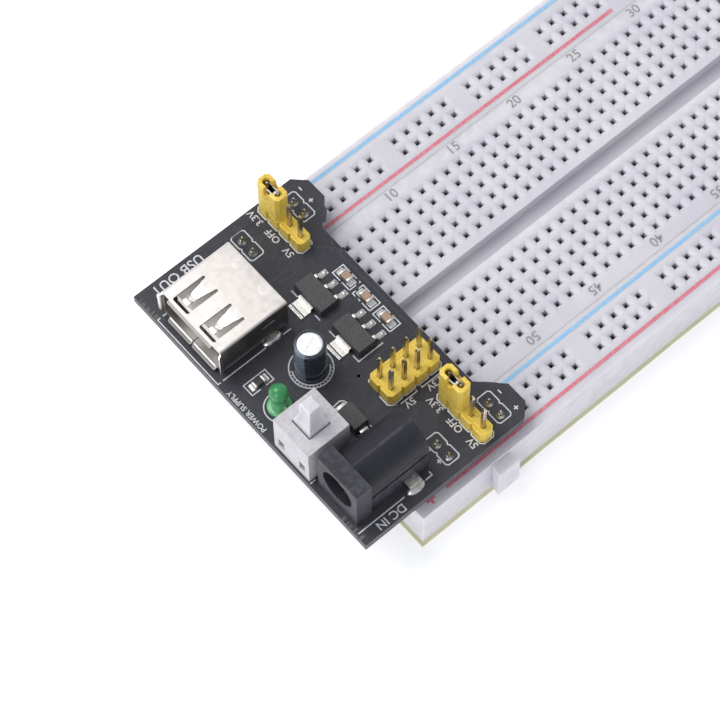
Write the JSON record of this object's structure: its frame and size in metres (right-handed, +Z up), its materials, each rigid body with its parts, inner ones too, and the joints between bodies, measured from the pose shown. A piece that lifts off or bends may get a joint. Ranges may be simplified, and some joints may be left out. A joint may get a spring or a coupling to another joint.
{
  "type": "solderless breadboard",
  "caption": "Solderless breadboard with split power rails and a plug-in power supply module on one end, with a USB socket, round jack, push switch, status LED and voltage jumpers.",
  "frame": {"origin": "centre of the release liner's bottom face, which is the face that the board rests on", "axes": "+X along the board's length, away from the power module, +Y across it towards the left power rail, +Z up out of the tie points"},
  "size_m": [0.1756, 0.0569, 0.0285],
  "materials": {
    "board_plastic": "satin moulded plastic, off-white",
    "contact_metal": "nickel-plated spring metal",
    "foam": "closed-cell adhesive foam",
    "liner_paper": "waxed pale yellow paper",
    "circuit_board": "black solder mask over glass-fibre board",
    "black_plastic": "moulded black nylon",
    "chip_epoxy": "matt moulded epoxy",
    "solder": "bright solder",
    "pin_metal": "plated brass",
    "usb_steel": "nickel-plated sheet steel",
    "white_plastic": "white plastic, slightly translucent",
    "switch_grey": "light grey moulded plastic",
    "spring_steel": "bright spring wire",
    "aluminium": "drawn aluminium",
    "capacitor_film": "shrink sleeve",
    "rubber": "moulded rubber",
    "winding_paper": "rolled foil and paper",
    "led_epoxy": "tinted diffused epoxy",
    "ceramic_tan": "fired ceramic",
    "resistor_black": "glazed black",
    "header_yellow": "yellow moulded plastic"
  },
  "bodies": {
    "board": {"terminal_strip": "board_plastic", "power_rail_left": "board_plastic", "power_rail_right": "board_plastic", "terminal_clips_left": "contact_metal", "terminal_clips_right": "contact_metal", "rail_contacts_left": "contact_metal", "rail_contacts_right": "contact_metal", "foam_pad": "foam", "release_liner": "liner_paper"},
    "power_module": {"circuit_board": "circuit_board", "rail_header_spacers": "black_plastic", "rail_header_pins": "pin_metal", "solder_joints": "solder", "usb_shell": "usb_steel", "usb_insulator": "white_plastic", "usb_contacts": "pin_metal", "jack_housing": "black_plastic", "jack_center_pin": "usb_steel", "jack_sleeve_contact": "contact_metal", "jack_switch_contact": "contact_metal", "switch_housing": "switch_grey", "switch_terminals": "contact_metal", "switch_spring": "spring_steel", "capacitor_can": "aluminium", "capacitor_sleeve": "capacitor_film", "capacitor_winding": "winding_paper", "capacitor_bung": "rubber", "capacitor_leads": "solder", "led_lens": "led_epoxy", "led_leads": "solder", "regulator_left_case": "chip_epoxy", "regulator_left_leads": "solder", "regulator_right_case": "chip_epoxy", "regulator_right_leads": "solder", "diode_case": "chip_epoxy", "diode_leads": "solder", "chip_capacitor_bodies": "ceramic_tan", "chip_capacitor_ends": "solder", "chip_resistor_body": "resistor_black", "chip_resistor_ends": "solder", "output_header_base": "header_yellow", "output_header_pins": "pin_metal", "selector_left_base": "header_yellow", "selector_left_pins": "pin_metal", "selector_right_base": "header_yellow", "selector_right_pins": "pin_metal"},
    "switch_button": {"switch_plunger": "white_plastic"},
    "jumper_left": {"jumper_left_cap": "header_yellow", "jumper_left_clip": "pin_metal"},
    "jumper_right": {"jumper_right_cap": "header_yellow", "jumper_right_clip": "pin_metal"}
  },
  "joints": [
    {"name": "module_lift", "type": "slide", "parent": "board", "child": "power_module", "axis": [0, 0, 1], "range_m": [0, 0.012]},
    {"name": "switch_press", "type": "slide", "parent": "power_module", "child": "switch_button", "axis": [0, 0, -1], "range_m": [0, 0.002], "stiffness_N_per_m": 500, "springref_m": -0.001, "deforming": ["switch_spring"]},
    {"name": "jumper_left_lift", "type": "slide", "parent": "power_module", "child": "jumper_left", "axis": [0, 0, 1], "range_m": [0, 0.009]},
    {"name": "jumper_right_lift", "type": "slide", "parent": "power_module", "child": "jumper_right", "axis": [0, 0, 1], "range_m": [0, 0.009]}
  ]
}
